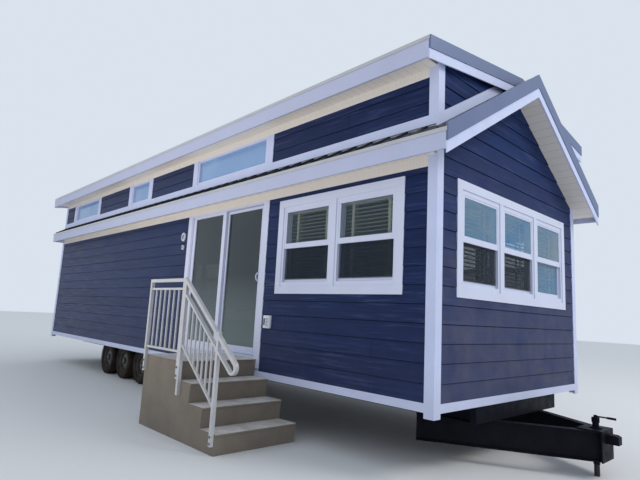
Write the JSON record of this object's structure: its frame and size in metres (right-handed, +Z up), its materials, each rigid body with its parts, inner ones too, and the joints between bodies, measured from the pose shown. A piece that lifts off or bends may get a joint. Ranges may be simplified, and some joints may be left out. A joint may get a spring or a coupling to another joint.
{
  "type": "tiny house on wheels",
  "caption": "Small house on a wheeled chassis: lap siding, white trim, steep front gable, high side windows, sliding door, hitch and entry steps with a rail.",
  "frame": {"origin": "middle of the footprint, on the ground the wheels, jack and steps stand on", "axes": "+X towards the hitch, along the length; +Y away from the door side; +Z up"},
  "size_m": [12.287, 4.703, 4.328],
  "materials": {
    "black_steel": "satin black paint, dusty",
    "jack_steel": "plain steel",
    "tyre": "dusty",
    "floor": "bare boards",
    "navy_wall": "painted lap siding",
    "white_trim": "white paint",
    "vinyl": "white",
    "clear_glass": "clear",
    "roofing": "dark grey standing ribs",
    "roof_timber": "sheathing",
    "fascia": "white",
    "soffit": "cream",
    "rake_metal": "grey-blue",
    "moulded": "textured",
    "rail_metal": "silver grey",
    "fitting": "light",
    "screen": "dark insect mesh",
    "blind": "warm white slats"
  },
  "bodies": {
    "house": {"main_beams": "black_steel", "cross_members": "black_steel", "drawbar": "black_steel", "coupler": "black_steel", "jack_tube": "black_steel", "axles": "black_steel", "leaf_springs": "black_steel", "floor_deck": "floor", "room_floor": "floor", "bottom_band": "white_trim", "front_wall": "navy_wall", "rear_wall": "navy_wall", "door_wall_front": "navy_wall", "door_wall_rear": "navy_wall", "wall_over_door": "navy_wall", "far_wall": "navy_wall", "corner_boards": "white_trim", "front_window": "vinyl", "side_window": "vinyl", "far_windows": "vinyl", "rear_window": "vinyl", "window_glass": "clear_glass", "window_screens": "screen", "window_blinds": "blind", "high_trim": "white_trim", "high_glass": "clear_glass", "door_frame": "vinyl", "fixed_door_panel": "vinyl", "fixed_door_glass": "clear_glass", "side_roofs": "roofing", "gable_roof": "roofing", "main_roof": "roofing", "main_roof_deck": "roof_timber", "gable_overhang": "soffit", "fascias": "fascia", "soffits": "soffit", "gable_rakes": "rake_metal", "upper_rakes": "rake_metal", "rake_boards": "white_trim", "entry_steps": "moulded", "platform_rail": "rail_metal", "stair_rail": "rail_metal", "wall_lights": "fitting", "outlet_box": "fitting"},
    "door_panel": {"sliding_door_panel": "vinyl", "sliding_door_glass": "clear_glass"},
    "jack_leg_body": {"jack_leg": "jack_steel"},
    "crank": {"jack_crank": "black_steel"},
    "wheel_door_1_body": {"wheel_door_1": "tyre"},
    "wheel_door_2_body": {"wheel_door_2": "tyre"},
    "wheel_door_3_body": {"wheel_door_3": "tyre"},
    "wheel_far_1_body": {"wheel_far_1": "tyre"},
    "wheel_far_2_body": {"wheel_far_2": "tyre"},
    "wheel_far_3_body": {"wheel_far_3": "tyre"}
  },
  "joints": [
    {"name": "door_slide", "type": "slide", "parent": "house", "child": "door_panel", "axis": [-1, 0, 0], "range_m": [0, 0.76]},
    {"name": "jack_extension", "type": "slide", "parent": "house", "child": "jack_leg_body", "axis": [0, 0, 1], "range_m": [-0.12, 0.1]},
    {"name": "jack_crank_turn", "type": "hinge", "parent": "house", "child": "crank", "pos_m": [5.9315, 0.4165, 0.556], "axis": [0, 0, 1], "continuous": true},
    {"name": "wheel_door_1_spin", "type": "hinge", "parent": "house", "child": "wheel_door_1_body", "pos_m": [-1.2085, -0.9285, 0.33], "axis": [0, 1, 0], "continuous": true},
    {"name": "wheel_door_2_spin", "type": "hinge", "parent": "house", "child": "wheel_door_2_body", "pos_m": [-1.9985, -0.9285, 0.33], "axis": [0, 1, 0], "continuous": true},
    {"name": "wheel_door_3_spin", "type": "hinge", "parent": "house", "child": "wheel_door_3_body", "pos_m": [-2.7885, -0.9285, 0.33], "axis": [0, 1, 0], "continuous": true},
    {"name": "wheel_far_1_spin", "type": "hinge", "parent": "house", "child": "wheel_far_1_body", "pos_m": [-1.2085, 1.7615, 0.33], "axis": [0, 1, 0], "continuous": true},
    {"name": "wheel_far_2_spin", "type": "hinge", "parent": "house", "child": "wheel_far_2_body", "pos_m": [-1.9985, 1.7615, 0.33], "axis": [0, 1, 0], "continuous": true},
    {"name": "wheel_far_3_spin", "type": "hinge", "parent": "house", "child": "wheel_far_3_body", "pos_m": [-2.7885, 1.7615, 0.33], "axis": [0, 1, 0], "continuous": true}
  ]
}
